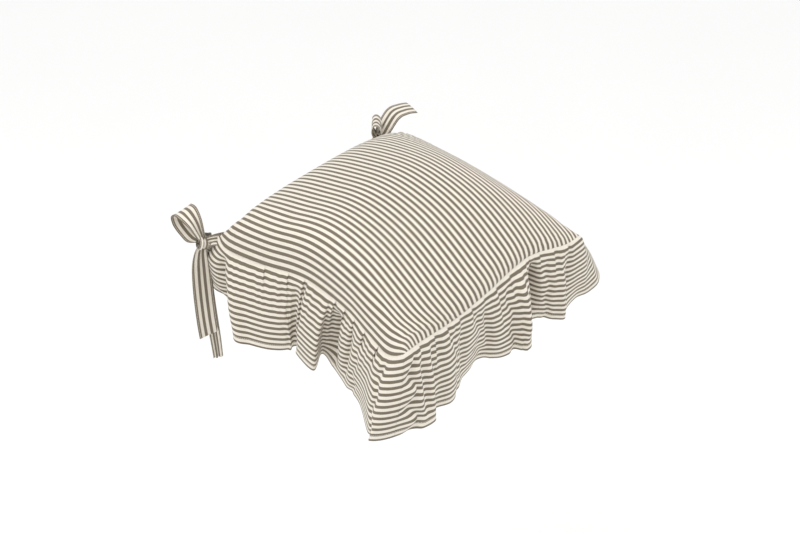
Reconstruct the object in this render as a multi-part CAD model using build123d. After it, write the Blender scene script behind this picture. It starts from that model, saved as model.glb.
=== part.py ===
from build123d import *
import math
import os

# A square, over-stuffed chair seat pad with a long gathered ruffle, tie straps and a zip.
# Millimetres.  The origin is the centre of the flat face that rests on the chair seat,
# +Z is up, -Y is the front of the seat and +Y the rear, where the ties and the zip are.

# ---- Cover ----
CORNER = 180.0             # half of the side, measured between the stuffed corners
BOW = 0.068                # how far the middle of a side pulls in, as a share of CORNER
SEAM_Z = 26.0              # height of the edge seam above the chair seat
CROWN = 80.0               # height of the crown above the edge seam
CROWN_POWER = 0.31         # a small power gives steep sides and a broad top
BASE_SWELL = 50.0          # the depth the lower half would have if no seat flattened it
BASE_POWER = 0.22
SEAM_SQUARENESS = 12.0     # superellipse power of the edge seam
SEAM_GAP = 1.2             # from the panels' edge to the ruffle
PATH_STEPS = 48            # points from the middle of a side to a corner
CLOTH = 0.011              # cover cloth and seam allowance, as a share of the cover

# ---- Inner pad ----
INNER_SHARE = 0.978        # inner casing, as a share of the cover
INNER_REAR_GAP = 8.0       # space behind the zip that the inner pad leaves free
CASING_CLOTH = 0.010
FILLING_SHARE = 0.967

# ---- Ruffle ----
RUFFLE_DROP = 120.0        # a 130 mm deep ruffle hangs this far when it leans outward
RUFFLE_CLOTH = 1.6         # two layers of cotton with a little air
RUFFLE_RETURN = 38.0       # how far each end wraps round its rear corner
GATHER_PITCH = 46.0
STEPS_PER_GATHER = 7
GATHER_AT_SEAM = 0.6
GATHER_AT_HEM = 7.0
# Where the hem hangs outside the seam.  Corners: 0 rear right, 1 rear left, 2 front left,
# 3 front right, 4 rear right again.
HEM_LEAN = [(0.85, 26.0), (1.0, 7.0), (1.3, 42.0), (1.7, 34.0), (2.0, 56.0), (2.5, 26.0),
            (3.0, 70.0), (3.5, 34.0), (4.0, 7.0), (4.15, 26.0)]

# ---- Zip, a number 3 nylon coil ----
ZIP_HALF = 125.0           # half the length of the coil
ZIP_Y = 160.5              # inner face of the tapes
TAPE_CLOTH = 0.8
TAPE_WIDTH = 7.0           # the part of each tape that is not folded into the seam
TAPE_HALF = 133.0
CENTRE_GAP = 1.0           # between the two tapes, where the slider's web runs
COIL_WIDTH = 1.9
COIL_DEPTH = 1.8
SLOT_HALF_HEIGHT = 5.0
SLOT_HALF_LENGTH = 145.0
SLIDER_LENGTH = 9.0
SLIDER_HALF_WIDTH = 3.9
SLIDER_PLATE = 1.2
SLIDER_CLEARANCE = 0.3
SLIDER_ROUND = 1.6
SLIDER_PARK = 1.0          # from the closed slider to the top stops
WEB_LENGTH = 4.0
WEB_WIDTH = 0.4
WEB_INSET = 0.2            # the web stops this far inside the outer face of each plate
RIM_LENGTH = 5.8
RIM_WIDTH = 0.9
BRIDGE_HALF_SPAN = 3.2     # the bridge holds the pull's crossbar
BRIDGE_LEG = 1.2
BRIDGE_BAR = 0.9
BRIDGE_WIDTH = 1.6
JOIN = 0.1                 # joined solids run into each other this far
STOP_LENGTH = 3.0
STOP_RISE = 0.6            # the stops stand proud of the coil
PULL_LENGTH = 22.0
PULL_THICKNESS = 0.9
PIVOT_RADIUS = 0.5
PIVOT_GAP = 0.4            # from the slider's face to the crossbar
ARM_GAP = 2.6              # between the two arms that straddle the bridge
ARM_WIDTH = 0.8
ARM_LENGTH = 6.0
TAB_START = 4.8            # from the pivot
TAB_WIDTH = 5.4
TAB_ROUND = 2.0
TAB_HOLE_INSET = 4.0       # from the free end of the tab
TAB_HOLE_RADIUS = 1.3

# ---- Tie straps ----
STRAP_WIDTH = 32.0
STRAP_CLOTH = 1.6
KNOT_SIZE = (17.0, 17.0, 15.0)
KNOT_ROUND = 5.5
LEFT_KNOT = (-197.0, 197.0, 19.0)
RIGHT_KNOT = (167.0, 199.0, 24.0)
KNOT_CORE = 8.0            # the strap that the knot is wrapped round
KNOT_CORE_BEYOND = 4.0
LOOP_EXIT = (4.0, 1.8)     # where each side of a loop leaves the knot: along, aside
TIE_ROOT = 170.5           # where the straps leave the corner seam, along X and along Y
ROOT_WIDTH = 14.0          # gathered into the corner
ROOT_LIFT = 1.6
# Each loop: the way it points, the way across its strap, its length and its opening.
LEFT_FRONT_LOOP = ((-0.1, 0.78, 0.62), (-0.82, 0.39, -0.42), 52.0, 15.0)
LEFT_BACK_LOOP = ((0.93, 0.37, 0), (0.1, 0.1, 1), 50.0, 14.0)
RIGHT_FRONT_LOOP = ((-0.1, 0.15, 0.98), (0.72, 0.69, 0), 44.0, 13.0)
RIGHT_BACK_LOOP = ((-0.93, 0.37, -0.1), (0.1, 0.1, 1), 50.0, 14.0)
TAIL_SHORT = 175.0
TAIL_LONG = 214.0
TAIL_BEHIND = 5.0          # the second tail hangs behind the first
LEFT_TAIL_DRIFT = 3.0      # how far the end of a tail hangs aside
RIGHT_TAIL_DRIFT = -6.0
RIGHT_ARCH = [(0, 0), (24.0, 6.0), (48.0, 7.0), (68.0, 3.0)]    # a short tail that stands up

ZIP_OUT_Y = ZIP_Y + TAPE_CLOTH
COIL_OUT_Y = ZIP_OUT_Y + COIL_DEPTH
SLIDER_FACE_Y = COIL_OUT_Y + SLIDER_CLEARANCE
SLIDER_OUT_Y = SLIDER_FACE_Y + SLIDER_PLATE
PIVOT_Y = SLIDER_OUT_Y + PIVOT_GAP + PIVOT_RADIUS
SLIDER_X = ZIP_HALF - STOP_LENGTH - SLIDER_PARK - SLIDER_LENGTH / 2


def superellipse(half, power, steps):
    """Points of |x|^power + |y|^power = half^power, evenly spread along its sides."""
    diagonal = half * 0.5 ** (1 / power)
    along = [diagonal * j / steps for j in range(steps)]
    octant = [((half ** power - y ** power) ** (1 / power), y) for y in along]
    quadrant = octant + [(diagonal, diagonal)] + [(y, x) for x, y in reversed(octant[1:])]
    turn = [(1, 0), (0, 1), (-1, 0), (0, -1)]
    return [(x * c - y * s, x * s + y * c) for c, s in turn for x, y in quadrant]


def bowed(x, y, half):
    """Pull the sides in between the corners; the zipped rear side stays straight."""
    across = abs(y / half)
    along = abs(x / half)
    side_pull = BOW * (1 - across ** 2)
    end_pull = BOW * (1 - along ** (10 if y > 0 else 2))
    return x * (1 - side_pull), y * (1 - end_pull)


def rim(half, power, steps=5):
    return [bowed(x, y, half) for x, y in superellipse(half, power, steps)]


def level_outline(share, power):
    """Outline of the stuffed form at a share of its full height."""
    rest = share ** (1 / power)
    half = CORNER * math.asin(math.sqrt(1 - rest)) / (math.pi / 2)
    diagonal = CORNER * math.asin(math.sqrt(1 - math.sqrt(rest))) / (math.pi / 2)
    squareness = min(SEAM_SQUARENESS, math.log(2) / math.log(half / diagonal))
    return rim(half, squareness)


def half_form(height, power, shares):
    """One stuffed half, from the seam plane at z = 0 to the last share of its height."""
    sections = []
    for share in shares:
        outline = level_outline(share, power) if share else rim(CORNER, SEAM_SQUARENESS)
        ring = Spline(*[(x, y, share * height) for x, y in outline], periodic=True)
        sections.append(make_face(ring))
    return loft(sections)


def upper_form():
    return half_form(CROWN, CROWN_POWER, (0, 0.14, 0.34, 0.56, 0.76, 0.9, 0.98))


def lower_form():
    return half_form(-BASE_SWELL, BASE_POWER, (0, 0.12, 0.3, SEAM_Z / BASE_SWELL))


def zip_slot():
    """The gap in the rear seam that shows the coil."""
    depth = 40.0
    slot = Box(2 * SLOT_HALF_LENGTH, depth, 2 * SLOT_HALF_HEIGHT)
    return Pos(0, ZIP_Y + depth / 2 - 1.0, SEAM_Z) * slot


def cover_panel(form):
    shell = form - scale(form, 1 - CLOTH)
    return Pos(0, 0, SEAM_Z) * shell - zip_slot()


def inner_form(share):
    """The inner pad is a smaller copy of the cover, held off the zip."""
    rear_share = share - INNER_REAR_GAP / (2 * CORNER)
    whole = upper_form() + lower_form()
    placed = scale(whole, (share, rear_share, share))
    return Pos(0, -INNER_REAR_GAP / 2, SEAM_Z) * placed


def seam_path():
    """The edge seam from above: lengths along it, points and outward directions."""
    points = [Vector(x, y) for x, y in rim(CORNER, SEAM_SQUARENESS, PATH_STEPS)]
    stations = []
    length = 0.0
    for i, here in enumerate(points + points[:1]):
        after = points[(i + 1) % len(points)]
        ahead = after - points[i - 1]
        stations.append((length, here, Vector(ahead.Y, -ahead.X).normalized()))
        length += (after - here).length
    return stations


def at_length(stations, s):
    s = s % stations[-1][0]
    for before, after in zip(stations, stations[1:]):
        if s <= after[0]:
            mix = (s - before[0]) / (after[0] - before[0])
            point = before[1] * (1 - mix) + after[1] * mix
            outward = (before[2] * (1 - mix) + after[2] * mix).normalized()
            return point, outward


def corner_lengths(stations):
    """Lengths at the corners, in the order that HEM_LEAN counts them."""
    quarter = 2 * PATH_STEPS
    first = [stations[PATH_STEPS + quarter * i][0] for i in range(4)]
    return first + [stations[-1][0] + first[0], stations[-1][0] + first[1]]


def hem_lean(corners, s):
    side = max(i for i in range(5) if corners[i] <= s)
    turn = side + (s - corners[side]) / (corners[side + 1] - corners[side])
    for (t0, lean0), (t1, lean1) in zip(HEM_LEAN, HEM_LEAN[1:]):
        if turn <= t1:
            return lean0 + (lean1 - lean0) * max(0.0, turn - t0) / (t1 - t0)
    return HEM_LEAN[-1][1]


def strip_face(stations, start, end, leaned, gather, z):
    """A thin wavy face that follows the seam at a height."""
    corners = corner_lengths(stations)
    count = round((end - start) / GATHER_PITCH * STEPS_PER_GATHER)
    near = []
    far = []
    for i in range(count + 1):
        s = start + (end - start) * i / count
        point, outward = at_length(stations, s)
        wave = gather * (1 + math.sin(2 * math.pi * s / GATHER_PITCH))
        out = SEAM_GAP + wave + (hem_lean(corners, s) if leaned else 0.0)
        near.append(point + outward * out + Vector(0, 0, z))
        far.append(point + outward * (out + RUFFLE_CLOTH) + Vector(0, 0, z))
    even = [i / count for i in range(count + 1)]
    curves = [Edge.make_spline(side, parameters=even) for side in (near, far)]
    return make_face([*curves, Line(near[-1], far[-1]), Line(far[0], near[0])])


def ruffle(stations, start, end):
    top = strip_face(stations, start, end, False, GATHER_AT_SEAM, SEAM_Z + RUFFLE_CLOTH / 2)
    hem = strip_face(stations, start, end, True, GATHER_AT_HEM, SEAM_Z - RUFFLE_DROP)
    return loft([top, hem], ruled=True)


def zip_side(sign):
    """One tape with its row of coil, above the seam line (+1) or below it (-1)."""
    edge = CENTRE_GAP / 2
    tape_z = SEAM_Z + sign * (edge + TAPE_WIDTH / 2)
    coil_z = SEAM_Z + sign * (edge + COIL_WIDTH / 2)
    tape = Pos(0, ZIP_Y + TAPE_CLOTH / 2, tape_z) * Box(2 * TAPE_HALF, TAPE_CLOTH, TAPE_WIDTH)
    coil = Pos(0, ZIP_OUT_Y + COIL_DEPTH / 2, coil_z) * Box(2 * ZIP_HALF, COIL_DEPTH, COIL_WIDTH)
    return tape, coil


def zip_stop(x, sign):
    """A crimp over one coil row, butted against the end of the coil."""
    z = SEAM_Z + sign * (CENTRE_GAP / 2 + COIL_WIDTH / 2)
    crimp = Box(STOP_LENGTH, COIL_DEPTH + STOP_RISE, COIL_WIDTH)
    return Pos(x, ZIP_OUT_Y + (COIL_DEPTH + STOP_RISE) / 2, z) * crimp


def zip_bottom_stop():
    """One wide staple across both rows."""
    width = CENTRE_GAP + 2 * COIL_WIDTH
    x = -ZIP_HALF - STOP_LENGTH / 2
    staple = Box(STOP_LENGTH, COIL_DEPTH + STOP_RISE, width)
    return Pos(x, ZIP_OUT_Y + (COIL_DEPTH + STOP_RISE) / 2, SEAM_Z) * staple


def slider_plate(y, thickness):
    plate = Box(SLIDER_LENGTH, thickness, 2 * SLIDER_HALF_WIDTH)
    plate = Pos(SLIDER_X, y + thickness / 2, SEAM_Z) * plate
    return fillet(plate.edges().filter_by(Axis.Y), SLIDER_ROUND)


def zip_slider():
    """Two plates joined by a web, with rims that hold the coil and a bridge for the pull."""
    front = slider_plate(SLIDER_FACE_Y, SLIDER_PLATE)
    back_y = ZIP_Y - SLIDER_CLEARANCE - SLIDER_PLATE
    back = slider_plate(back_y, SLIDER_PLATE)
    web_depth = SLIDER_OUT_Y - back_y - 2 * WEB_INSET
    web = Box(WEB_LENGTH, web_depth, WEB_WIDTH)
    body = front + back + Pos(SLIDER_X, back_y + WEB_INSET + web_depth / 2, SEAM_Z) * web
    rim_depth = SLIDER_FACE_Y - ZIP_OUT_Y - SLIDER_CLEARANCE
    rim = Box(RIM_LENGTH, rim_depth + JOIN, RIM_WIDTH)
    for sign in (1, -1):
        z = SEAM_Z + sign * (SLIDER_HALF_WIDTH - RIM_WIDTH / 2)
        body += Pos(SLIDER_X, SLIDER_FACE_Y + JOIN - (rim_depth + JOIN) / 2, z) * rim
    under = PIVOT_Y + PIVOT_RADIUS + SLIDER_CLEARANCE
    leg_height = under - SLIDER_OUT_Y + JOIN
    leg = Box(BRIDGE_LEG, leg_height, BRIDGE_WIDTH)
    for side in (1, -1):
        x = SLIDER_X + side * (BRIDGE_HALF_SPAN - BRIDGE_LEG / 2)
        body += Pos(x, SLIDER_OUT_Y - JOIN + leg_height / 2, SEAM_Z) * leg
    bar = Box(2 * BRIDGE_HALF_SPAN, BRIDGE_BAR, BRIDGE_WIDTH)
    body += Pos(SLIDER_X, under + BRIDGE_BAR / 2, SEAM_Z) * bar
    return body


def zip_pull():
    """A tab whose open end straddles the bridge, on a round crossbar under it."""
    crossbar = Cylinder(PIVOT_RADIUS, 2 * (ARM_GAP / 2 + ARM_WIDTH))
    body = Pos(SLIDER_X, PIVOT_Y, SEAM_Z) * crossbar
    arm = Box(ARM_LENGTH, PULL_THICKNESS, ARM_WIDTH)
    for sign in (1, -1):
        z = SEAM_Z + sign * (ARM_GAP + ARM_WIDTH) / 2
        body += Pos(SLIDER_X - ARM_LENGTH / 2, PIVOT_Y, z) * arm
    tab_length = PULL_LENGTH - TAB_START
    tab = Box(tab_length, PULL_THICKNESS, TAB_WIDTH)
    tab = fillet(tab.edges().filter_by(Axis.Y), TAB_ROUND)
    hole = Pos(TAB_HOLE_INSET - tab_length / 2, 0, 0) * Rot(90, 0, 0) * Cylinder(TAB_HOLE_RADIUS, 4.0)
    return body + Pos(SLIDER_X - TAB_START - tab_length / 2, PIVOT_Y, SEAM_Z) * (tab - hole)


def ribbon(origin, along, across, route, width=STRAP_WIDTH):
    """A strap that follows a flat route, given as (along, aside) steps from the origin."""
    across = Vector(*across).normalized()
    along = Vector(*along)
    along = (along - across * along.dot(across)).normalized()
    plane = Plane(origin=origin, x_dir=along, z_dir=across)
    near = []
    far = []
    for i, (a, b) in enumerate(route):
        before = route[max(i - 1, 0)]
        after = route[min(i + 1, len(route) - 1)]
        step = math.hypot(after[0] - before[0], after[1] - before[1])
        aside_a = (before[1] - after[1]) / step * STRAP_CLOTH / 2
        aside_b = (after[0] - before[0]) / step * STRAP_CLOTH / 2
        near.append((a - aside_a, b - aside_b))
        far.append((a + aside_a, b + aside_b))
    face = make_face([Spline(*near), Spline(*far), Line(near[0], far[0]), Line(near[-1], far[-1])])
    return extrude(plane * face, amount=width / 2, both=True)


def loop_route(length, opening):
    """A flattened teardrop from the knot and back to it."""
    half = opening / 2
    stretch = [LOOP_EXIT, (0.35 * length, 0.8 * half), (0.75 * length, half)]
    return [(a, -b) for a, b in stretch] + [(length, 0.0)] + stretch[::-1]


def tail_route(length, drift):
    return [(0, 0), (0.3 * length, 0.2 * drift), (0.7 * length, 0.7 * drift), (length, drift)]


def turned(centre):
    return Pos(*centre) * Rot(0, 0, 45)


def knot(centre):
    block = Box(*KNOT_SIZE)
    return turned(centre) * fillet(block.edges(), KNOT_ROUND)


def knot_core(centre):
    """The strap that runs through the middle of the knot."""
    return turned(centre) * Box(KNOT_CORE, KNOT_CORE, KNOT_SIZE[2] + KNOT_CORE_BEYOND)


def root_strap(side, centre):
    """From the corner seam to the knot; side is -1 on the left and +1 on the right."""
    start = Vector(side * TIE_ROOT, TIE_ROOT, SEAM_Z + ROOT_LIFT)
    reach = Vector(*centre) - start
    across = Vector(-reach.Y, reach.X, 0)
    route = [(0, 0), (reach.length / 2, 1.0), (reach.length, 0)]
    return ribbon(start, reach, across, route, ROOT_WIDTH)


def loop(centre, along, across, length, opening):
    return ribbon(centre, along, across, loop_route(length, opening))


def tail(centre, across, length, drift):
    return ribbon(centre, (0, 0, -1), across, tail_route(length, drift))


def left_bow():
    across = (0.97, -0.24, 0)
    behind = Vector(*LEFT_KNOT) + Vector(2.0, TAIL_BEHIND, 0)
    front = knot(LEFT_KNOT) + loop(LEFT_KNOT, *LEFT_FRONT_LOOP)
    front += tail(LEFT_KNOT, across, TAIL_SHORT, LEFT_TAIL_DRIFT)
    back = knot_core(LEFT_KNOT) + root_strap(-1, LEFT_KNOT) + loop(LEFT_KNOT, *LEFT_BACK_LOOP)
    back += tail(behind, across, TAIL_LONG, LEFT_TAIL_DRIFT)
    return front, back


def right_bow():
    behind = Vector(*RIGHT_KNOT) + Vector(0, TAIL_BEHIND, 0)
    front = knot(RIGHT_KNOT) + loop(RIGHT_KNOT, *RIGHT_FRONT_LOOP)
    front += ribbon(RIGHT_KNOT, (0.75, -0.2, 0.62), (0.13, -0.79, -0.6), RIGHT_ARCH)
    back = knot_core(RIGHT_KNOT) + root_strap(1, RIGHT_KNOT) + loop(RIGHT_KNOT, *RIGHT_BACK_LOOP)
    back += tail(behind, (0.97, 0.1, 0), TAIL_SHORT, RIGHT_TAIL_DRIFT)
    return front, back


def write(name, shape):
    export_step(shape, f"parts/{name}.step")


def main():
    os.makedirs("parts", exist_ok=True)
    write("top_panel", cover_panel(upper_form()))
    write("base_panel", cover_panel(lower_form()))
    casing = inner_form(INNER_SHARE)
    write("inner_casing", casing - inner_form(INNER_SHARE - CASING_CLOTH))
    write("filling", inner_form(FILLING_SHARE))

    stations = seam_path()
    corners = corner_lengths(stations)
    write("ruffle_left", ruffle(stations, corners[1] - RUFFLE_RETURN, corners[2]))
    write("ruffle_front", ruffle(stations, corners[2], corners[3]))
    write("ruffle_right", ruffle(stations, corners[3], corners[4] + RUFFLE_RETURN))

    for name, sign in (("upper", 1), ("lower", -1)):
        tape, coil = zip_side(sign)
        write(f"zip_tape_{name}", tape)
        write(f"zip_coil_{name}", coil)
        write(f"zip_stop_{name}", zip_stop(ZIP_HALF + STOP_LENGTH / 2, sign))
    write("zip_end_staple", zip_bottom_stop())
    write("zip_slider", zip_slider())
    write("zip_pull", zip_pull())

    for side, straps in (("left", left_bow()), ("right", right_bow())):
        front, back = straps
        write(f"tie_{side}_front_strap", (front - back).solids().sort_by(SortBy.VOLUME)[-1])
        write(f"tie_{side}_back_strap", back)


main()
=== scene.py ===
import math

import bpy
import mathutils
import numpy as np
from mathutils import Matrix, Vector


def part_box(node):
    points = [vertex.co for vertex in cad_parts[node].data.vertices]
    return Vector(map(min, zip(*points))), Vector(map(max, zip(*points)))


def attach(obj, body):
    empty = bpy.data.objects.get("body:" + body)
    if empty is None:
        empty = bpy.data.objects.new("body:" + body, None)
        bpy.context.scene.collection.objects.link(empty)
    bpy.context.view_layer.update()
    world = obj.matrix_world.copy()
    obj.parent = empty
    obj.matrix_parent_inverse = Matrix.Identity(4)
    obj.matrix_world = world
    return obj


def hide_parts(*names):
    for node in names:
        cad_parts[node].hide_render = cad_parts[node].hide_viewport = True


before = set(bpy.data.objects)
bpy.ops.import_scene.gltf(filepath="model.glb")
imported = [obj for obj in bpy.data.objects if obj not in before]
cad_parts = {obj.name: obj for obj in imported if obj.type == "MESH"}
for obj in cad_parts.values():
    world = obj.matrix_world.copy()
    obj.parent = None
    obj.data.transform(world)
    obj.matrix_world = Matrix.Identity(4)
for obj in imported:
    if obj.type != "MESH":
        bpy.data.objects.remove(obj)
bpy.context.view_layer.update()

# A chair seat pad in striped ticking.  Lengths below are millimetres in the frame's axes:
# the origin is the centre of the face that rests on the seat, +Z up, -Y the front.
MM = 0.001

# ---- Cover ----
CUT = 418.0                # side of the square that each panel is cut to
SEAM_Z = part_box("zip_coil_upper")[0][2] / MM - 0.5
GRID = 100                 # cells along one side of a panel
SEWN_WIDTH = 330.0         # width of a sewn panel, for sharing out its cloth
CROWN = 84.0               # height of the crown above the seam
BASE = 50.0                # depth of the base below it, before the seat flattens it
# How square-shouldered the stuffed shape is towards each side: left, right, front, rear.
CROWN_POWERS = (0.13, 0.30, 0.50, 0.25)
BASE_POWERS = (0.22, 0.22, 0.22, 0.22)
CROWN_LEAN = (-0.17, 0.20) # the crown's share of extra height towards +X and +Y
BASE_LEAN = (0, 0)
SOFT_PIN = 0.8             # how firmly the filling holds the cloth to its shape
CROWN_PRESSURE = 8
BASE_PRESSURE = 4
DRAW_IN = 12               # frame by which the edge has reached its seam
FRAMES = 36
SOFTENING = 4              # passes that round off the smallest creases
EDGE_SHARE = 0.35          # how evenly the cloth is spread at the edge, against 1 in the middle
EDGE_REACH = 0.34          # share of the width over which that changes
SEAT_SOFTNESS = 5.0        # rounding of the base's edge where it meets the seat

# The rear edge is open for the zip up to the first distance from its middle, and closed again
# from the second on.
SLOT_OPEN = 138
SLOT_SHUT = 152
LIP = 4.6                  # half the height of the open slot, and how far its lips turn in
LIP_HEM = 0.3              # how far a turned-in lip comes down towards the tape
LIP_CLOTH = 5              # cloth used by the turned-in lip

# The edge seam, corner to corner: x, y and height above the seam plane.
REAR_LEFT = (-181, 181, 6)
FRONT_LEFT = (-178, -181, 2)
FRONT_RIGHT = (181, -181, 2)
REAR_RIGHT = (179, 179, 0)
LEFT_SEAM = [REAR_LEFT, (-184, 160, -5), (-174, 96, -3), (-165, 48, 4), (-162, 13, 7), (-164, -30, 6),
             (-168, -71, 3), (-174, -102, -2), (-180, -132, -6), (-184, -154, -8), (-183, -170, -4),
             FRONT_LEFT]
FRONT_SEAM = [FRONT_LEFT, (-168, -181, 3), (-137, -177, -1), (-100, -176, -4), (-59, -174, -6),
              (-26, -172, -4), (5, -170, -2), (37, -167, 2), (78, -165, 6), (104, -167, 5), (134, -174, 1),
              (160, -179, -2), FRONT_RIGHT]
RIGHT_SEAM = [FRONT_RIGHT, (174, -120, 3), (168, -50, 5), (167, 20, 5), (171, 100, 2), REAR_RIGHT]
REAR_SEAM = [REAR_RIGHT, (167, 173, 2), (150, 168, 0), (75, 166, 0), (0, 166, 0), (-75, 166, 0),
             (-150, 168, 0), (-167, 173, 2), REAR_LEFT]


def catmull(points, t):
    """Points of a smooth curve through the given points; t counts them from 0."""
    p = np.asarray(points, float)
    t = np.clip(np.asarray(t, float), 0, len(p) - 1)
    i = np.minimum(t.astype(int), len(p) - 2)
    f = (t - i)[:, None]
    before = p[np.maximum(i - 1, 0)]
    after = p[np.minimum(i + 2, len(p) - 1)]
    a, b = p[i], p[i + 1]
    return a + 0.5 * f * (b - before + f * (2 * before - 5 * a + 4 * b - after
                                            + f * (3 * (a - b) + after - before)))


def evenly(points, count):
    """count points at equal steps of length along a smooth curve."""
    t = np.linspace(0, len(points) - 1, 40 * len(points))
    path = catmull(points, t)
    length = np.r_[0, np.cumsum(np.linalg.norm(np.diff(path, axis=0), axis=1))]
    steps = np.linspace(0, length[-1], count)
    return np.stack([np.interp(steps, length, path[:, k]) for k in range(path.shape[1])], axis=1)


def smoothstep(x, low, high):
    """0 below low, 1 above high, and a smooth rise between them."""
    t = np.clip((x - low) / (high - low), 0, 1)
    return t * t * (3 - 2 * t)


def grid_faces(rows, cols):
    """Quads between the points of a grid that is numbered row by row."""
    r, c = np.meshgrid(np.arange(rows - 1), np.arange(cols - 1), indexing="ij")
    first = (r * cols + c).ravel()
    return np.stack([first, first + 1, first + cols + 1, first + cols], axis=1)


def build(name, verts, faces, cloth):
    """A smooth-shaded mesh in metres; cloth holds each vertex's place on the flat fabric."""
    mesh = bpy.data.meshes.new(name)
    mesh.from_pydata((np.asarray(verts) * MM).tolist(), [], np.asarray(faces).tolist())
    layer = mesh.uv_layers.new(name="cloth")
    index = np.empty(len(mesh.loops), dtype=np.int32)
    mesh.loops.foreach_get("vertex_index", index)
    layer.data.foreach_set("uv", (np.asarray(cloth, float)[index] * MM).ravel())
    mesh.polygons.foreach_set("use_smooth", np.ones(len(mesh.polygons), dtype=bool))
    obj = bpy.data.objects.new(name, mesh)
    bpy.context.scene.collection.objects.link(obj)
    return obj


def vertices(obj):
    """An object's vertices in millimetres."""
    out = np.empty(len(obj.data.vertices) * 3)
    obj.data.vertices.foreach_get("co", out)
    return out.reshape(-1, 3) / MM


def edge_ring(lift):
    """Where the four edges of a panel are sewn; lift opens the zipped part of the rear edge."""
    sides = {}
    names = ("left", "front", "right", "rear")
    for name, keys in zip(names, (LEFT_SEAM, FRONT_SEAM, RIGHT_SEAM, REAR_SEAM)):
        side = evenly(keys, GRID + 1)
        side[:, 2] += SEAM_Z
        sides[name] = side
    slot = 1 - smoothstep(np.abs(sides["rear"][:, 0]), SLOT_OPEN, SLOT_SHUT)
    sides["rear"][:, 2] += lift * slot
    return sides


def even_share(height, power):
    """Shares of a panel's width that are equal steps of cloth over its middle."""
    share = np.linspace(0, 1, 4001)
    rise = height * np.sin(math.pi * share) ** power
    length = np.r_[0, np.cumsum(np.hypot(np.diff(share) * SEWN_WIDTH, np.diff(rise)))]
    return np.interp(np.linspace(0, length[-1], GRID + 1), length, share)


def panel(name, height, powers, lean, lift):
    """A flat square of cloth, and the stuffed shape that it is sewn into."""
    side = edge_ring(lift)
    south, north = side["front"], side["rear"][::-1]
    west, east = side["left"][::-1], side["right"]
    step = np.linspace(0, 1, GRID + 1)
    share = even_share(abs(height), np.mean(powers))
    inside = EDGE_SHARE + (1 - EDGE_SHARE) * smoothstep(np.minimum(step, 1 - step), 0, EDGE_REACH)
    a = step[None] + (share - step)[None] * inside[:, None]
    b = step[:, None] + (share - step)[:, None] * inside[None]

    def on(edge, where):
        return np.stack([np.interp(where, step, edge[:, k]) for k in range(3)], axis=-1)

    a3, b3 = a[..., None], b[..., None]
    place = (on(west, b) * (1 - a3) + on(east, b) * a3 + on(south, a) * (1 - b3) + on(north, a) * b3
             - south[0] * (1 - a3) * (1 - b3) - south[-1] * a3 * (1 - b3)
             - north[0] * (1 - a3) * b3 - north[-1] * a3 * b3)
    rise = (np.sin(math.pi * np.clip(a, 0, 1)).clip(0) ** (powers[0] * (1 - a) + powers[1] * a)
            * np.sin(math.pi * np.clip(b, 0, 1)).clip(0) ** (powers[2] * (1 - b) + powers[3] * b))
    rise[[0, -1]] = rise[:, [0, -1]] = 0
    place[:, :, 2] += height * rise * (1 + lean[0] * (a - 0.5) + lean[1] * (b - 0.5))
    half = np.linspace(-CUT / 2, CUT / 2, GRID + 1)
    flat = np.stack(np.meshgrid(half, half), axis=-1)
    faces = grid_faces(GRID + 1, GRID + 1)
    if height < 0:
        faces = faces[:, ::-1]
    flat = flat.reshape(-1, 2)
    obj = build(name, np.c_[flat, np.full(len(flat), SEAM_Z)], faces, flat + CUT / 2)
    obj.shape_key_add(name="flat")
    sewn = obj.shape_key_add(name="sewn")
    sewn.data.foreach_set("co", (place * MM).ravel())
    return obj


def inflate(obj, pressure):
    """Cloth simulation: the edge is drawn in to its seam while the filling presses outward."""
    sewn = obj.data.shape_keys.key_blocks["sewn"]
    for frame_number, value in ((1, 0.0), (DRAW_IN, 1.0)):
        sewn.value = value
        sewn.keyframe_insert("value", frame=frame_number)
    pins = obj.vertex_groups.new(name="pins")
    index = np.arange((GRID + 1) ** 2).reshape(GRID + 1, GRID + 1)
    edge = np.unique(np.r_[index[0], index[-1], index[:, 0], index[:, -1]])
    pins.add(index.ravel().tolist(), SOFT_PIN, "REPLACE")
    pins.add(edge.tolist(), 1.0, "REPLACE")
    cloth = obj.modifiers.new("cloth", "CLOTH")
    s = cloth.settings
    s.quality = 8
    s.mass = 0.15
    s.tension_stiffness = 40
    s.compression_stiffness = 20
    s.shear_stiffness = 12
    s.bending_stiffness = 0.4
    s.tension_damping = s.compression_damping = 10
    s.air_damping = 3
    s.vertex_group_mass = "pins"
    s.use_pressure = True
    s.uniform_pressure_force = pressure
    s.effector_weights.gravity = 0
    cloth.collision_settings.use_collision = False
    cloth.point_cache.frame_end = FRAMES
    settle(obj)


def settle(obj):
    """Run the simulation and keep its last frame as the plain mesh."""
    scene = bpy.context.scene
    for frame_number in range(1, FRAMES + 1):
        scene.frame_set(frame_number)
    shape = obj.evaluated_get(bpy.context.evaluated_depsgraph_get())
    out = np.empty(len(obj.data.vertices) * 3)
    shape.data.vertices.foreach_get("co", out)
    obj.modifiers.clear()
    obj.data.shape_keys.animation_data_clear()
    obj.shape_key_clear()
    obj.data.vertices.foreach_set("co", out)
    obj.data.update()
    scene.frame_set(1)


def soften(obj):
    """Rounds off the smallest creases; the edge stays on its seam."""
    v = vertices(obj).reshape(GRID + 1, GRID + 1, 3)
    for _ in range(SOFTENING):
        v[1:-1, 1:-1] = (4 * v[1:-1, 1:-1] + v[:-2, 1:-1] + v[2:, 1:-1]
                         + v[1:-1, :-2] + v[1:-1, 2:]) / 8
    obj.data.vertices.foreach_set("co", (v * MM).ravel())
    obj.data.update()


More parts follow.
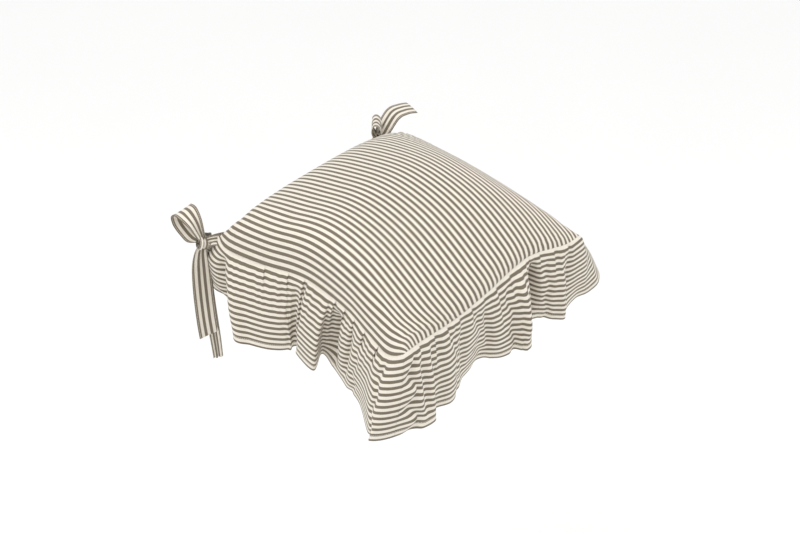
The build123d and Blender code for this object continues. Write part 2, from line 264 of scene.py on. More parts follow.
def flatten(obj):
    """Presses the underside on to the seat: a flat face with a soft edge."""
    verts = vertices(obj)
    verts[:, 2] = SEAT_SOFTNESS * np.logaddexp(0, verts[:, 2] / SEAT_SOFTNESS)
    obj.data.vertices.foreach_set("co", (verts * MM).ravel())
    obj.data.update()


# ---- Ruffle ----
RUFFLE_DROP = 130.0
RUFFLE_TURN = 9.0          # turned-up hem
COLUMN = 2.0               # grid step along the hem
PLEAT_COLUMN = 0.5         # and in a pleat
ROW = 3.0                  # and down the ruffle
CLOTH = 0.8                # thickness of a doubled cloth, such as a tie
AHEAD = 12                 # half the stretch of seam that gives the ruffle its direction
BULGE = 5                  # how far the ruffle stands out half way down
# Each fold: the place on the seam that it hangs from, and where its hem is (x, y; x, y).
LEFT_FOLDS = [(-138, 167, -142, 228), (-158, 170, -164, 228), (-172, 176, -167, 216),
              (-181, 181, -164, 196), (-184, 167, -173, 170), (-183, 151, -221, 114),
              (-179, 125, -210, 92), (-174, 93, -199, 70), (-167, 62, -186, 50),
              (-165, 48, -180, 41), (-164, 40, -172, 44), (-163, 20, -168, 36), (-162, 13, -182, 26),
              (-164, -30, -190, -17), (-164, -36, -158, -1), (-166, -50, -163, -28),
              (-168, -71, -170, -51), (-174, -102, -177, -73), (-176, -120, -180, -93),
              (-178, -136, -190, -113), (-178, -150, -216, -150), (-178, -172, -232, -173),
              (-178, -181, -203, -188)]
FRONT_FOLDS = [(-178, -181, -203, -188), (-165, -180, -169, -203), (-137, -177, -138, -204),
               (-118, -177, -120, -184), (-100, -176, -95, -191), (-85, -175, -74, -184),
               (-62, -174, -48, -168), (-45, -173, -34, -164), (-26, -172, 0, -160), (-12, -171, 12, -170),
               (5, -170, 22, -179), (25, -168, 34, -185), (37, -167, 47, -188), (60, -166, 50, -205),
               (78, -165, 66, -197), (82, -166, 77, -152), (92, -166, 99, -158), (104, -167, 119, -164),
               (134, -174, 137, -180), (145, -177, 151, -191), (160, -179, 170, -176),
               (168, -180, 195, -172), (181, -181, 209, -178)]
RIGHT_FOLDS = [(181, -181, 209, -178), (181, -176, 219, -181), (180, -171, 236, -182),
               (179, -165, 251, -166), (178, -150, 246, -140), (176, -140, 214, -130),
               (175, -118, 205, -108),
               (173, -100, 222, -92), (172, -82, 190, -78), (170, -64, 216, -58), (168, -48, 196, -38),
               (168, -26, 220, -24), (167, -8, 188, -4), (167, 12, 212, 12), (168, 30, 192, 34),
               (169, 50, 218, 48), (170, 70, 190, 72), (171, 90, 214, 88), (172, 108, 192, 112),
               (174, 130, 216, 130), (176, 150, 200, 152), (178, 168, 214, 170), (181, 181, 194, 195),
               (160, 171, 160, 214), (140, 168, 141, 222)]

PLEAT = 7.0                # half of the cloth in one pleat
PLEAT_DEPTH = 2.6
PLEAT_RISE = 22            # cloth over which the ruffle comes out again behind a pleat
# Knife pleats: a place on the seam (x, y), share of the ruffle's depth that it reaches, and its lap.
LEFT_PLEATS = [(-173, 92, 0.3, 3.0), (-164, 52, 1.3, 4.0), (-162, 22, 0.9, 4.5), (-164, -40, 1.2, 3.5),
               (-166, -62, 0.35, 3.5), (-170, -84, 1.0, 3.5), (-174, -108, 0.4, 3.0),
               (-177, -138, 0.3, 3.5)]
FRONT_PLEATS = [(-150, -177, 0.35, 3.0), (-118, -177, 0.5, 3.5), (-92, -175, 0.3, 3.5),
                (-66, -174, 0.5, 3.5), (-40, -173, 0.3, 3.0), (-14, -171, 0.4, 3.5), (14, -168, 0.9, 4.0),
                (44, -167, 0.4, 3.0), (82, -165, 1.2, 6.0), (108, -168, 0.35, 3.0), (132, -173, 0.5, 3.5),
                (156, -178, 0.4, 3.0)]
RIGHT_PLEATS = [(177, -150, 0.4, 3.5), (174, -121, 0.5, 4.0), (171, -91, 0.35, 3.5), (168, -61, 0.6, 4.0),
                (167, -31, 0.4, 3.5), (166, -1, 0.5, 4.0), (167, 29, 0.35, 3.5), (168, 62, 0.6, 4.0),
                (171, 94, 0.4, 3.5), (173, 126, 0.5, 4.0), (177, 158, 0.4, 3.5)]

# Where a ruffle is pressed in (or, below 0, puffed out) half way down: x, y, half width, depth.
LEFT_HOLLOWS = [(-178, 180, 22, -15), (-184, 166, 6, 8), (-165, -50, 8, 22), (-170, -84, 7, 7),
                (-163, 36, 6, 6)]
FRONT_HOLLOWS = [(-150, -177, 7, 8), (-66, -174, 8, 6), (-14, -171, 7, 7), (93, -166, 6.5, 32),
                 (60, -166, 9, -9), (156, -178, 7, 8)]
RIGHT_HOLLOWS = [(174, -121, 9, 8), (168, -61, 9, 8), (166, -1, 9, 8), (168, 62, 9, 8), (173, 126, 9, 8)]

# Zigzag creases from pressing: x, y, half width, depth, swing.
ZIGZAGS = 2.6              # turns of one crease from seam to hem
LEFT_CRUMPLES = [(-184, 164, 4, 4, 6), (-179, -158, 5, 4, 9), (-175, -108, 5, 3, 7), (-163, 20, 4, 3, 5),
                 (-164, 55, 5, 2.5, 5)]
FRONT_CRUMPLES = [(-166, -181, 4.5, 7, 9), (-126, -177, 5, 3.5, 6), (-80, -175, 5, 3.5, 7),
                  (-30, -172, 5, 3, 7), (34, -167, 5, 3.5, 8), (52, -167, 4, 2.5, 6), (120, -170, 5, 3, 8),
                  (150, -177, 5, 2.5, 6)]
RIGHT_CRUMPLES = [(177, -142, 5, 3, 7), (170, -76, 5, 3, 7), (167, 14, 5, 3, 7), (172, 108, 5, 3, 7)]

# Where the ruffle's two ends stop on the rear seam.
RETURN_LEFT = -138
RETURN_RIGHT = 140
SEAM_POINTS = 300          # points along each side of the seam, for finding a place on it


def seam_path(*sides):
    """Close points along the seam, side after side, and the length up to each."""
    points = np.concatenate(sides)
    points = points[np.r_[True, np.linalg.norm(np.diff(points, axis=0), axis=1) > 1e-6]]
    return points, np.r_[0, np.cumsum(np.linalg.norm(np.diff(points, axis=0), axis=1))]


def nearest(path, place):
    """The number of the point of the path that is closest to a place, seen from above."""
    return np.argmin(np.hypot(*(path[:, :2] - place).T))


def ruffle(name, folds, path, length, pleats, hollows, crumples):
    """A strip gathered on to the seam: it hangs from its seam to a hem that waves in and out."""
    folds = np.asarray(folds, float)
    station = np.maximum.accumulate([length[nearest(path, fold[:2])] for fold in folds])
    t = np.linspace(0, len(folds) - 1, 60 * len(folds))
    hem = catmull(folds[:, 2:], t)
    along = np.r_[0, np.cumsum(np.linalg.norm(np.diff(hem, axis=0), axis=1))]
    pleat_at = np.interp([length[nearest(path, pleat[:2])] for pleat in pleats],
                         np.interp(t, np.arange(len(folds)), station), along)
    u = np.linspace(0, along[-1], int(along[-1] / COLUMN) + 1)
    for at in pleat_at:
        u = np.r_[u, at + np.arange(-PLEAT, PLEAT + 0.1, PLEAT_COLUMN)]
    u = np.unique(np.round(u[(u >= 0) & (u <= along[-1])], 1))
    u = np.r_[u[:-1], along[-1]]
    t = np.interp(u, along, t)
    hem = catmull(folds[:, 2:], t)
    s = np.interp(t, np.arange(len(folds)), station)
    rows = int(RUFFLE_DROP / ROW) + 1
    v = np.linspace(0, 1, rows)[:, None]
    aside = np.zeros((rows, len(u)))
    push = BULGE * np.sin(math.pi * v ** 0.8) + np.zeros((1, len(u)))
    # Small uneven gathers below the seam.
    wave = np.sin(2 * math.pi * (s / 15 + 0.35 * np.sin(s / 12) + 0.25 * np.sin(s / 7)))
    wave += 0.6 * np.sin(2 * math.pi * (s / 27 + 0.3 * np.sin(s / 9)))
    push += smoothstep(v, -0.02, 0.12) * (1 - smoothstep(v, 0.1, 0.75)) * (0.6 + 0.5 * wave)[None]
    for x, y, width, depth, swing in crumples:
        zigzag = np.arcsin(np.sin(2 * math.pi * ZIGZAGS * v))
        middle = length[nearest(path, (x, y))] + swing * zigzag / math.pi
        push -= depth * np.exp(-((s[None] - middle) / width) ** 2) * smoothstep(v, 0.02, 0.2)
    push += PLEAT_DEPTH * smoothstep(v, -0.01, 0.05) * (1 - smoothstep(v, 0.6, 1.0))
    for x, y, width, depth in hollows:
        near = np.exp(-((s - length[nearest(path, (x, y))]) / width) ** 2)[None]
        push -= depth * near * smoothstep(v, 0.02, 0.35) * (1 - smoothstep(v, 0.65, 1.0))
    for at, (_, _, reach, lap) in zip(pleat_at, pleats):
        f = np.clip((u - at) / PLEAT, -1, 1)
        fade = 1 - smoothstep(v, 0.35 * reach, reach)
        aside -= lap * np.sin(math.pi * f)[None] * fade
        sunk = (smoothstep(u, at - 0.5 * PLEAT, at + 0.5 * PLEAT)
                * (1 - smoothstep(u, at + 0.6 * PLEAT, at + PLEAT_RISE)))
        push -= PLEAT_DEPTH * sunk[None] * fade * smoothstep(v, -0.01, 0.04)
    s = s[None] + aside
    top = np.stack([np.interp(s, length, path[:, k]) for k in range(3)], axis=-1)
    ahead = np.stack([np.interp(s + AHEAD, length, path[:, k]) - np.interp(s - AHEAD, length, path[:, k])
                      for k in range(2)], axis=-1)
    ahead /= np.linalg.norm(ahead, axis=-1)[..., None]
    out = np.stack([ahead[..., 1], -ahead[..., 0]], axis=-1)
    spread = np.hypot(hem[None, :, 0] - top[..., 0], hem[None, :, 1] - top[..., 1])
    low = top[..., 2] - np.sqrt(np.maximum(RUFFLE_DROP ** 2 - spread ** 2, 1))
    bottom = np.stack([hem[None, :, 0] + 0 * low, hem[None, :, 1] + 0 * low, low], axis=-1)
    verts = top * (1 - v[:, :, None]) + bottom * v[:, :, None]
    verts[:, :, :2] += out * push[:, :, None]
    cloth = np.stack(np.broadcast_arrays(v * RUFFLE_DROP, u[None]), axis=-1)
    obj = build(name, verts.reshape(-1, 3), grid_faces(rows, len(u))[:, ::-1], cloth.reshape(-1, 2))
    thicken(obj, 0.5 * CLOTH, -1)
    return obj, along[-1]


def thicken(obj, thickness, offset):
    """Gives a surface the thickness of its cloth: -1 behind it, 0 to both sides."""
    solid = obj.modifiers.new("cloth", "SOLIDIFY")
    solid.thickness = thickness * MM
    solid.offset = offset
    solid.use_even_offset = False
    solid.use_quality_normals = True
    apply(obj)


def apply(obj):
    """Turn the object's modifiers into plain mesh."""
    shape = obj.evaluated_get(bpy.context.evaluated_depsgraph_get())
    mesh = bpy.data.meshes.new_from_object(shape)
    old = obj.data
    obj.modifiers.clear()
    obj.data = mesh
    bpy.data.meshes.remove(old)
    mesh.name = obj.name


# ---- Ties ----
TIE_WIDTH = 32.5
TIE_COLUMNS = 17           # points across a tie
TIE_STEP = 2.5             # grid step along it
TIE_FOLD = TIE_WIDTH / 17  # depth of its folds where it is gathered most
TIE_CURVE = 0.8            # how far the middle of the tie stands off its edges
LEFT_KNOT = np.array([-197.0, 197.0, 19.0])
RIGHT_KNOT = np.array([163.0, 203.0, 17.0])


def unit(v):
    return np.asarray(v, float) / np.linalg.norm(v)


def ribbon(keys):
    """Part of a tie: keys are (centre, direction of its width, share of its width)."""
    rows = np.array([[*c, *unit(w), share] for c, w, share in keys], float)
    fine = catmull(rows, np.linspace(0, len(rows) - 1, 30 * len(rows)))
    length = np.r_[0, np.cumsum(np.linalg.norm(np.diff(fine[:, :3], axis=0), axis=1))]
    along = np.linspace(0, length[-1], max(int(length[-1] / TIE_STEP), 2) + 1)
    line = np.stack([np.interp(along, length, fine[:, k]) for k in range(7)], axis=1)
    centre = line[:, :3]
    ahead = np.gradient(centre, axis=0)
    ahead /= np.linalg.norm(ahead, axis=1)[:, None]
    across = line[:, 3:6] - ahead * np.sum(line[:, 3:6] * ahead, axis=1)[:, None]
    across /= np.linalg.norm(across, axis=1)[:, None]
    face = np.cross(across, ahead)
    share = np.clip(line[:, 6], 0.2, 1)[:, None]
    j = np.linspace(-1, 1, TIE_COLUMNS)[None]
    pleat = TIE_FOLD * np.sqrt(1 / share ** 2 - 1) * share
    depth = pleat * np.sin(2.3 * math.pi * j + 0.6) + TIE_CURVE * (1 - j ** 2)
    verts = (centre[:, None] + across[:, None] * (j * share * TIE_WIDTH / 2)[:, :, None]
             + face[:, None] * depth[:, :, None])
    cloth = np.stack(np.broadcast_arrays((j + 1) / 2 * TIE_WIDTH, along[:, None]), axis=-1)
    return verts.reshape(-1, 3), grid_faces(len(along), TIE_COLUMNS), cloth.reshape(-1, 2), length[-1]


def tie(name, parts):
    """One strap made of its root, loop, tail and any turn round the knot."""
    verts, faces, cloth, count = [], [], [], 0
    for v, f, c, _ in parts:
        verts.append(v)
        faces.append(f + count)
        cloth.append(c)
        count += len(v)
    obj = build(name, np.concatenate(verts), np.concatenate(faces), np.concatenate(cloth))
    thicken(obj, CLOTH, 0)
    return obj, sum(part[3] for part in parts)


def loop(knot, toward, across, length, opening, near=0.6, far=0.6):
    """A bow's loop: out from the knot, round its fold and back.

    near and far are the shares of the tie's width at its two ends.
    """
    d, w = unit(toward), unit(across)
    n = unit(np.cross(d, w))
    keys = []
    for out, aside, share in ((0.0, 0.06, 0.3), (0.22, 0.55, near), (0.5, 1.0, near + 0.5 * (1 - near)),
                              (0.8, 0.95, 0.98), (0.97, 0.45, 1.0), (1.0, 0.0, 1.0), (0.97, -0.45, 1.0),
                              (0.8, -0.95, 1.0), (0.5, -1.0, far + 0.7 * (1 - far)), (0.22, -0.7, far),
                              (0.0, -0.06, 0.3)):
        keys.append((knot + d * out * length + n * aside * opening / 2, w, share))
    return ribbon(keys)


def wrap(knot, axis, radii):
    """The turn of strap round the knot."""
    a = unit(axis)
    e = unit(np.cross(a, (0, 0, 1)))
    f = np.cross(a, e)
    keys = []
    for k in range(-1, 12):
        angle = 2 * math.pi * k / 10
        centre = knot + e * radii[0] * math.cos(angle) + f * radii[1] * math.sin(angle)
        keys.append((centre, a + 0.12 * f * math.sin(angle), 0.5))
    return ribbon(keys)


def left_front_tie():
    k = LEFT_KNOT
    root = ribbon([((-166, 168, 24), (0.2, 0.5, 1), 0.6), ((-184, 185, 24), (0.3, 0.5, 1), 0.5),
                   (k + (3, -3, 2), (0.3, 0.5, 1), 0.45), (k, (0.3, 0.5, 1), 0.4)])
    bow = loop(k + (0, 1, 3), (-0.02, 0.8, 0.6), (-0.976, 0.128, -0.181), 54, 42, 0.5, 0.9)
    w = (0.97, -0.24, 0)
    tail = ribbon([(k + (0, 0, -3), w, 0.45), (k + (-4, 2, -16), w, 0.7), (k + (-5, 3, -42), w, 0.92),
                   (k + (-4, 4, -90), w, 1), (k + (-2, 4, -140), w, 1), (k + (0, 3, -173), w, 1)])
    band = wrap(k, (-0.85, 0.35, 0.3), (8.5, 8))
    return tie("Tie_left_front", [root, bow, tail, band])


def left_back_tie():
    k = LEFT_KNOT
    root = ribbon([((-164, 171, 22), (0.2, 0.5, 1), 0.8), ((-181, 188, 20), (0.2, 0.5, 1), 0.6),
                   (k, (0.2, 0.4, 1), 0.4)])
    bow = loop(k, (0.6, 0.5, -0.62), (0.3, 0.3, 1), 36, 16)
    w = (0.85, -0.5, 0)
    tail = ribbon([(k + (1, 4, -3), w, 0.4), (k + (3, 7, -30), w, 0.6), (k + (5, 7, -80), w, 0.6),
                   (k + (8, 6, -130), w, 0.55), (k + (10, 2, -185), w, 0.5), (k + (11, 0, -222), w, 0.45)])
    return tie("Tie_left_back", [root, bow, tail])


def right_front_tie():
    k = RIGHT_KNOT
    root = ribbon([((172, 174, 17), (0.3, 0.3, 1), 1.0), ((169, 188, 17), (0.1, 0.3, 1), 0.7),
                   (k, (0, 0, 1), 0.4)])
    bow = loop(k, (-0.1, 0.05, 0.99), (0.72, 0.69, 0), 37, 14)
    tail = ribbon([(k + (0, -1, 2), (0.1, -0.9, -0.3), 0.4), (k + (11, 2, 9), (0.0, -0.95, -0.3), 0.75),
                   (k + (36, 4, 28), (-0.25, -0.95, -0.1), 1), (k + (54, 0, 31), (-0.27, -0.95, 0), 1),
                   (k + (70, -4, 28), (-0.28, -0.96, 0), 1)])
    band = wrap(k, (0.9, 0.2, 0.3), (8.5, 8))
    return tie("Tie_right_front", [root, bow, tail, band])


def right_back_tie():
    k = RIGHT_KNOT
    root = ribbon([((176, 170, 14), (0.3, 0.3, 1), 1.0), ((173, 184, 14), (0.1, 0.3, 1), 0.7),
                   (k, (0, 0, 1), 0.4)])
    bow = loop(k, (0.1, 0.5, -0.85), (0.9, 0.3, 0.2), 46, 20)
    tail = ribbon([(k + (0, 4, -3), (0.9, 0.3, 0), 0.4), (k + (2, 10, -20), (0.9, 0.3, 0), 0.6),
                   (k + (3, 14, -60), (0.9, 0.2, 0), 1), (k + (1, 14, -120), (0.95, 0.1, 0), 1),
                   (k + (-2, 12, -175), (1, 0, 0), 1)])
    return tie("Tie_right_back", [root, bow, tail])


# ---- Materials ----
TAUPE = (0.160, 0.136, 0.101, 1)
CREAM = (0.86, 0.805, 0.715, 1)
THREAD = (0.80, 0.75, 0.66, 1)
STRIPE_PITCH = 9.4
STRIPE_EDGE = (-0.10, 0.14)  # heights of the stripe wave where the taupe starts and is full
YARN = 0.62 * MM           # repeat of the weave
STITCH = 2.8 * MM          # repeat of the sewing stitches
STITCH_SHARE = 0.72        # share of a repeat that shows thread
STITCH_HALF = 0.45 * MM    # half the width of the sewn line


class Nodes:
    """Short names for making and joining shader nodes."""

    def __init__(self, name):
        self.material = bpy.data.materials.new(name)
        self.material.use_nodes = True
        self.tree = self.material.node_tree
        self.shader = self.tree.nodes["Principled BSDF"]

    def add(self, kind, inputs=(), **settings):
        node = self.tree.nodes.new("ShaderNode" + kind)
        for key, value in settings.items():
            setattr(node, key, value)
        for key, value in dict(inputs).items():
            self.put(value, node.inputs[key])
        return node

    def put(self, value, socket):
        if isinstance(value, bpy.types.NodeSocket):
            self.tree.links.new(value, socket)
        else:
            socket.default_value = value

    def math(self, operation, *values):
        node = self.tree.nodes.new("ShaderNodeMath")
        node.operation = operation
        for socket, value in zip(node.inputs, values):
            self.put(value, socket)
        return node.outputs[0]

    def mix(self, factor, a, b):
        node = self.tree.nodes.new("ShaderNodeMix")
        node.data_type = "RGBA"
        for socket, value in ((node.inputs[0], factor), (node.inputs[6], a), (node.inputs[7], b)):
            self.put(value, socket)
        return node.outputs[2]


def ticking(name, dark_first, stitches=()):
    """Woven cotton: taupe stripes on cream, repeated across the first cloth coordinate."""
    n = Nodes(name)
    place = n.add("UVMap", uv_map="cloth").outputs[0]
    split = n.add("SeparateXYZ", {0: place})
    across, along = split.outputs[0], split.outputs[1]
    wander = n.add("TexNoise", {"Vector": place, "Scale": 900.0, "Detail": 1.0}).outputs[0]
    wander = n.math("MULTIPLY", n.math("SUBTRACT", wander, 0.5), 0.35 * MM)
    shift = STRIPE_PITCH * MM * (0.25 if dark_first else 0.75)
    turn = n.math("DIVIDE", n.math("ADD", n.math("ADD", across, wander), -shift), STRIPE_PITCH * MM)
    wave = n.math("COSINE", n.math("MULTIPLY", turn, 2 * math.pi))
    stripe = n.add("MapRange", {"Value": wave, "From Min": STRIPE_EDGE[0], "From Max": STRIPE_EDGE[1]},
                   interpolation_type="SMOOTHSTEP").outputs[0]
    warp = n.math("SINE", n.math("MULTIPLY", across, 2 * math.pi / YARN))
    weft = n.math("SINE", n.math("MULTIPLY", along, 2 * math.pi / YARN))
    weave = n.math("MULTIPLY", warp, weft)
    stretched = n.add("Mapping", {"Vector": place, "Scale": (1400.0, 60.0, 1.0)}).outputs[0]
    slub = n.add("TexNoise", {"Vector": stretched, "Scale": 1.0, "Detail": 2.0}).outputs[0]
    dye = n.add("TexNoise", {"Vector": place, "Scale": 45.0, "Detail": 3.0}).outputs[0]
    dark = n.mix(dye, TAUPE, (TAUPE[0] * 1.35, TAUPE[1] * 1.33, TAUPE[2] * 1.3, 1))
    light = n.mix(dye, CREAM, (CREAM[0] * 0.94, CREAM[1] * 0.93, CREAM[2] * 0.90, 1))
    colour = n.mix(stripe, light, dark)
    fleck = n.math("MULTIPLY_ADD", slub, 0.22, 0.86)
    yarn = n.math("MULTIPLY_ADD", weave, 0.035, 1.0)
    shade = n.math("MULTIPLY", fleck, yarn)
    height = n.math("ADD", weave, n.math("MULTIPLY", slub, 1.5))
    for line in stitches:
        near = n.math("COMPARE", across, line * MM, STITCH_HALF)
        dash = n.math("LESS_THAN", n.math("FRACT", n.math("DIVIDE", along, STITCH)), STITCH_SHARE)
        thread = n.math("MULTIPLY", near, dash)
        colour = n.mix(n.math("MULTIPLY", thread, 0.65), colour, THREAD)
        height = n.math("SUBTRACT", height, n.math("MULTIPLY", near, 3.0))
        height = n.math("ADD", height, n.math("MULTIPLY", thread, 4.0))
    tinted = n.add("Mix", data_type="RGBA", blend_type="MULTIPLY")
    n.put(1.0, tinted.inputs[0])
    n.put(colour, tinted.inputs[6])
    n.put(shade, tinted.inputs[7])
    n.put(tinted.outputs[2], n.shader.inputs["Base Color"])
    bump = n.add("Bump", {"Height": height, "Strength": 0.35, "Distance": 0.12 * MM})
    n.put(bump.outputs[0], n.shader.inputs["Normal"])
    n.shader.inputs["Roughness"].default_value = 0.85
    n.shader.inputs["Sheen Weight"].default_value = 0.15
    n.shader.inputs["Sheen Roughness"].default_value = 0.5
    n.shader.inputs["Specular IOR Level"].default_value = 0.25
    return n.material


def plain_cloth(name, colour, scale, strength):
    """Plain cloth or wadding with a fibrous surface."""
    n = Nodes(name)
    place = n.add("TexCoord").outputs["Object"]
    fibre = n.add("TexNoise", {"Vector": place, "Scale": scale, "Detail": 4.0}).outputs[0]
    dim = tuple(0.82 * c for c in colour[:3]) + (1,)
    n.put(n.mix(fibre, dim, colour), n.shader.inputs["Base Color"])
    bump = n.add("Bump", {"Height": fibre, "Strength": strength, "Distance": 0.4 * MM})
    n.put(bump.outputs[0], n.shader.inputs["Normal"])
    n.shader.inputs["Roughness"].default_value = 0.9
    n.shader.inputs["Sheen Weight"].default_value = 0.2
    return n.material


def twill_tape():
    """Zip tape: a beige herringbone twill."""
    n = Nodes("Zip_tape")
    split = n.add("SeparateXYZ", {0: n.add("TexCoord").outputs["Object"]})
    zigzag = n.math("PINGPONG", split.outputs[2], 1.2 * MM)
    slope = n.math("ADD", split.outputs[0], zigzag)
    ridge = n.math("SINE", n.math("MULTIPLY", slope, 2 * math.pi / (0.7 * MM)))
    mask = n.math("MULTIPLY_ADD", ridge, 0.5, 0.5)
    n.put(n.mix(mask, (0.50, 0.44, 0.35, 1), (0.66, 0.60, 0.50, 1)), n.shader.inputs["Base Color"])
    bump = n.add("Bump", {"Height": ridge, "Strength": 0.5, "Distance": 0.1 * MM})
    n.put(bump.outputs[0], n.shader.inputs["Normal"])
    n.shader.inputs["Roughness"].default_value = 0.8
    return n.material


def nylon():
    """The coil's smooth monofilament."""
    n = Nodes("Zip_coil")
    place = n.add("TexCoord").outputs["Object"]
    tone = n.add("TexNoise", {"Vector": place, "Scale": 300.0}).outputs[0]
    n.put(n.mix(tone, (0.60, 0.54, 0.44, 1), (0.72, 0.66, 0.56, 1)), n.shader.inputs["Base Color"])
    n.shader.inputs["Roughness"].default_value = 0.35
    return n.material


def nickel():
    """Plated zip metal with fine scratches and duller patches."""
    n = Nodes("Zip_metal")
    place = n.add("TexCoord").outputs["Object"]
    stretched = n.add("Mapping", {"Vector": place, "Scale": (200.0, 3000.0, 3000.0)}).outputs[0]
    scratch = n.add("TexNoise", {"Vector": stretched, "Scale": 1.0, "Detail": 2.0}).outputs[0]
    patch = n.add("TexNoise", {"Vector": place, "Scale": 400.0, "Detail": 2.0}).outputs[0]
    n.put(n.mix(patch, (0.62, 0.60, 0.57, 1), (0.78, 0.77, 0.75, 1)), n.shader.inputs["Base Color"])
    n.put(n.math("MULTIPLY_ADD", n.math("ADD", scratch, patch), 0.16, 0.16), n.shader.inputs["Roughness"])
    bump = n.add("Bump", {"Height": scratch, "Strength": 0.15, "Distance": 0.05 * MM})
    n.put(bump.outputs[0], n.shader.inputs["Normal"])
    n.shader.inputs["Metallic"].default_value = 1.0
    return n.material


def floor_paint():
    """The studio's matt, nearly white floor."""
    n = Nodes("Floor")
    place = n.add("TexCoord").outputs["Object"]
    tone = n.add("TexNoise", {"Vector": place, "Scale": 3.0}).outputs[0]
    n.put(n.mix(tone, (0.96, 0.96, 0.955, 1), (0.98, 0.98, 0.975, 1)), n.shader.inputs["Base Color"])
    n.shader.inputs["Roughness"].default_value = 0.95
    return n.material


def paint(obj, material):
    """Gives the object this one material."""
    obj.data.materials.clear()
    obj.data.materials.append(material)


# ---- Zip ----
ZIP_HALF = 125.0
COIL_PITCH = 1.35
COIL_WIRE = 0.30           # radius of the monofilament
COIL_MIDDLE = 0.95         # middle of a row of turns, from the zip's centre line
COIL_REACH = 1.2           # and how far a turn goes to either side of that
COIL_STEPS = 10            # points along one turn


def coil(name, side):
    """One side's row of nylon turns; the heads of the two rows meet in turn over the centre."""
    low, high = (np.array(c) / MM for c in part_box("zip_coil_upper"))
    back, front = low[1] + COIL_WIRE, high[1] - COIL_WIRE
    turns = int(2 * ZIP_HALF / COIL_PITCH) - 2
    t = np.arange(turns * COIL_STEPS + 1) / COIL_STEPS
    x = -ZIP_HALF + 1 + COIL_PITCH * (t + (0.5 if side < 0 else 0))
    angle = 2 * math.pi * t
    reach = COIL_MIDDLE + COIL_REACH * np.cos(angle)
    middle, half = (front + back) / 2, (front - back) / 2
    line = np.stack([x, middle + half * np.sin(angle), SEAM_Z + side * reach], axis=1)
    ahead = np.gradient(line, axis=0)
    ahead /= np.linalg.norm(ahead, axis=1)[:, None]
    inward = np.stack([np.zeros_like(x), -np.sin(angle), -side * np.cos(angle)], axis=1)
    inward -= ahead * np.sum(inward * ahead, axis=1)[:, None]
    inward /= np.linalg.norm(inward, axis=1)[:, None]
    other = np.cross(ahead, inward)
    ring = 2 * math.pi * np.arange(6) / 5
    verts = (line[:, None] + COIL_WIRE * (inward[:, None] * np.cos(ring)[None, :, None]
                                          + other[:, None] * np.sin(ring)[None, :, None]))
    cloth = np.stack(np.broadcast_arrays(ring[None] * COIL_WIRE, x[:, None]), axis=-1)
    return build(name, verts.reshape(-1, 3), grid_faces(len(line), 6), cloth.reshape(-1, 2))


def turn_in(obj, side):
    """Carries the rear edge of a panel in to the zip tape, as the lip of its opening."""
    verts = vertices(obj)
    rear = verts.reshape(GRID + 1, GRID + 1, 3)[-1]
    gap = side * (rear[:, 2] - SEAM_Z)
    lip = rear.copy()
    lip[:, 1] -= np.clip(gap, 0, LIP)
    lip[:, 2] = SEAM_Z + side * np.maximum(gap - LIP_HEM, 0)
    mesh = obj.data
    flat = np.empty(len(mesh.loops) * 2)
    mesh.uv_layers["cloth"].data.foreach_get("uv", flat)
    index = np.empty(len(mesh.loops), dtype=np.int32)
    mesh.loops.foreach_get("vertex_index", index)
    place = np.empty((len(verts), 2))
    place[index] = flat.reshape(-1, 2) / MM
    inner = place.reshape(GRID + 1, GRID + 1, 2)[-1] + (0, LIP_CLOTH)
    faces = grid_faces(GRID + 2, GRID + 1)
    if side < 0:
        faces = faces[:, ::-1]
    name = obj.name
    bpy.data.objects.remove(obj)
    return build(name, np.r_[verts, lip], faces, np.r_[place, inner])


def stuffing(name, top, base, share):
    """A closed pillow just inside the cover."""
    upper, lower = vertices(top), vertices(base)
    middle = np.array([0, 0, SEAM_Z])
    n = GRID + 1
    faces = np.r_[grid_faces(n, n), grid_faces(n, n)[:, ::-1] + n * n]
    obj = build(name, middle + (np.r_[upper[:n * n], lower[:n * n]] - middle) * share, faces,
                np.zeros((2 * n * n, 2)))
    weld = obj.modifiers.new("weld", "WELD")
    weld.merge_threshold = 1.5 * MM
    thin = obj.modifiers.new("thin", "DECIMATE")
    thin.ratio = 0.35
    apply(obj)
    obj.data.polygons.foreach_set("use_smooth", np.ones(len(obj.data.polygons), dtype=bool))
    return obj


# ---- The pad ----
top = panel("Cover_top", CROWN, CROWN_POWERS, CROWN_LEAN, LIP)
inflate(top, CROWN_PRESSURE)
soften(top)
base = panel("Cover_base", -BASE, BASE_POWERS, BASE_LEAN, -LIP)
inflate(base, BASE_PRESSURE)
soften(base)
flatten(base)
top = turn_in(top, 1)
base = turn_in(base, -1)

left, front, right, rear = (evenly(keys, SEAM_POINTS) + (0, 0, SEAM_Z)
                            for keys in (LEFT_SEAM, FRONT_SEAM, RIGHT_SEAM, REAR_SEAM))
path, seam_length = seam_path(rear[rear[:, 0] < RETURN_LEFT], left, front, right,
                              rear[rear[:, 0] > RETURN_RIGHT])
left_ruffle, left_cut = ruffle("Ruffle_left", LEFT_FOLDS, path, seam_length,
                               LEFT_PLEATS, LEFT_HOLLOWS, LEFT_CRUMPLES)
front_ruffle, front_cut = ruffle("Ruffle_front", FRONT_FOLDS, path, seam_length,
                                 FRONT_PLEATS, FRONT_HOLLOWS, FRONT_CRUMPLES)
right_ruffle, right_cut = ruffle("Ruffle_right", RIGHT_FOLDS, path, seam_length,
                                 RIGHT_PLEATS, RIGHT_HOLLOWS, RIGHT_CRUMPLES)

cover_cloth = ticking("Ticking_cover", True)
ruffle_cloth = ticking("Ticking_ruffle", False, (3.0, RUFFLE_DROP - RUFFLE_TURN))
tie_cloth = ticking("Ticking_tie", True, (2.0, TIE_WIDTH - 2.0))

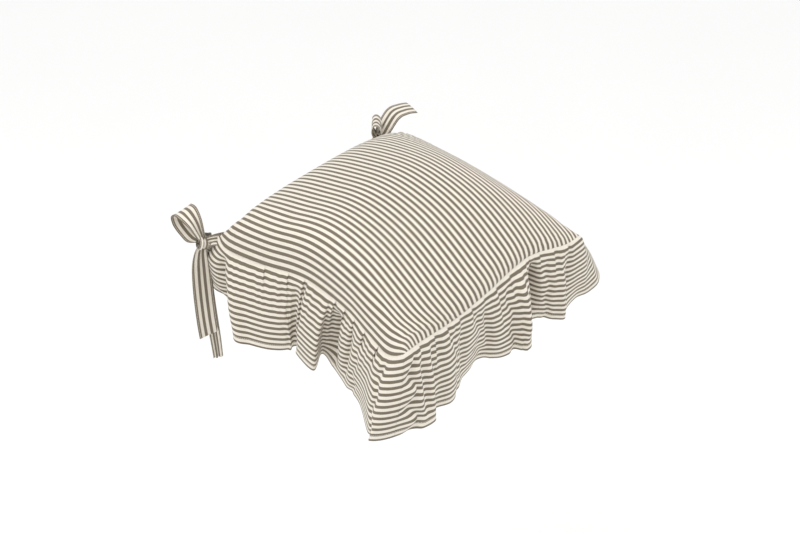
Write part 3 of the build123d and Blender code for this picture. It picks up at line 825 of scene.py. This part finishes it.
for obj, node, fill in ((top, "top_panel", 0.85), (base, "base_panel", 0.7)):
    paint(obj, cover_cloth)
    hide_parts(node)
for obj, node, cut in ((left_ruffle, "ruffle_left", left_cut), (front_ruffle, "ruffle_front", front_cut),
                       (right_ruffle, "ruffle_right", right_cut)):
    paint(obj, ruffle_cloth)
    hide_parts(node)
pad_pieces = [top, base, left_ruffle, front_ruffle, right_ruffle]
for make, node in ((left_front_tie, "tie_left_front_strap"), (left_back_tie, "tie_left_back_strap"),
                   (right_front_tie, "tie_right_front_strap"), (right_back_tie, "tie_right_back_strap")):
    obj, length = make()
    paint(obj, tie_cloth)
    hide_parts(node)
    pad_pieces.append(obj)
for obj in pad_pieces:
    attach(obj, "pad")

casing = stuffing("Inner_casing", top, base, 0.950)
filling = stuffing("Filling", top, base, 0.935)
paint(casing, plain_cloth("Casing_cloth", (0.90, 0.89, 0.86, 1), 900.0, 0.3))
paint(filling, plain_cloth("Filling_fibre", (0.94, 0.94, 0.93, 1), 250.0, 0.9))
coil_upper, coil_lower = coil("Zip_coil_upper", 1), coil("Zip_coil_lower", -1)
nylon_coil = nylon()
paint(coil_upper, nylon_coil)
paint(coil_lower, nylon_coil)
for obj, node, slot in ((casing, "inner_casing", "casing"), (filling, "filling", "filling"),
                        (coil_upper, "zip_coil_upper", "zip_coil"),
                        (coil_lower, "zip_coil_lower", "zip_coil")):
    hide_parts(node)
    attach(obj, "pad")
metal, tape = nickel(), twill_tape()
for node in ("zip_stop_upper", "zip_stop_lower", "zip_end_staple", "zip_slider", "zip_pull"):
    paint(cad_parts[node], metal)
for node in ("zip_tape_upper", "zip_tape_lower"):
    paint(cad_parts[node], tape)

# ---- Camera, light and floor ----
LOOK_DOWN = 37.5           # degrees below the horizon
LOOK_ROUND = -45.8         # degrees about the vertical
target = np.array([0.0, 0.0, 0.026])
camera = bpy.data.objects.new("Camera", bpy.data.cameras.new("Camera"))
camera.location = target + (-1.479, -1.438, 1.583)
camera.rotation_euler = (math.radians(90 - LOOK_DOWN), 0, math.radians(LOOK_ROUND))
camera.data.sensor_width = 36
camera.data.lens = 82.3
camera.data.shift_x = 0.00125
camera.data.shift_y = -0.0361
camera.data.clip_end = 20
scene = bpy.context.scene
scene.collection.objects.link(camera)
scene.camera = camera


def soft_light(name, place, size, power):
    """A round area light that faces the pad."""
    lamp = bpy.data.lights.new(name, "AREA")
    lamp.shape = "DISK"
    lamp.size = size
    lamp.energy = power
    obj = bpy.data.objects.new(name, lamp)
    obj.location = place
    aim = mathutils.Vector(target.tolist()) - obj.location
    obj.rotation_euler = aim.to_track_quat("-Z", "Y").to_euler()
    scene.collection.objects.link(obj)


soft_light("Key", (-1.6, 0.2, 2.8), 2.6, 42)
soft_light("Fill", (1.6, -2.6, 1.6), 2.4, 17)
world = bpy.data.worlds.new("Studio")
world.use_nodes = True
world.node_tree.nodes["Background"].inputs[0].default_value = (1, 1, 1, 1)
world.node_tree.nodes["Background"].inputs[1].default_value = 0.88
scene.world = world
scene.view_settings.view_transform = "Standard"

FLOOR_HALF = 6000
FLOOR_Z = -1100
corners = [(x * FLOOR_HALF, y * FLOOR_HALF, FLOOR_Z) for x, y in ((-1, -1), (1, -1), (1, 1), (-1, 1))]
floor = build("Floor", corners, [(0, 1, 2, 3)], np.zeros((4, 2)))
paint(floor, floor_paint())
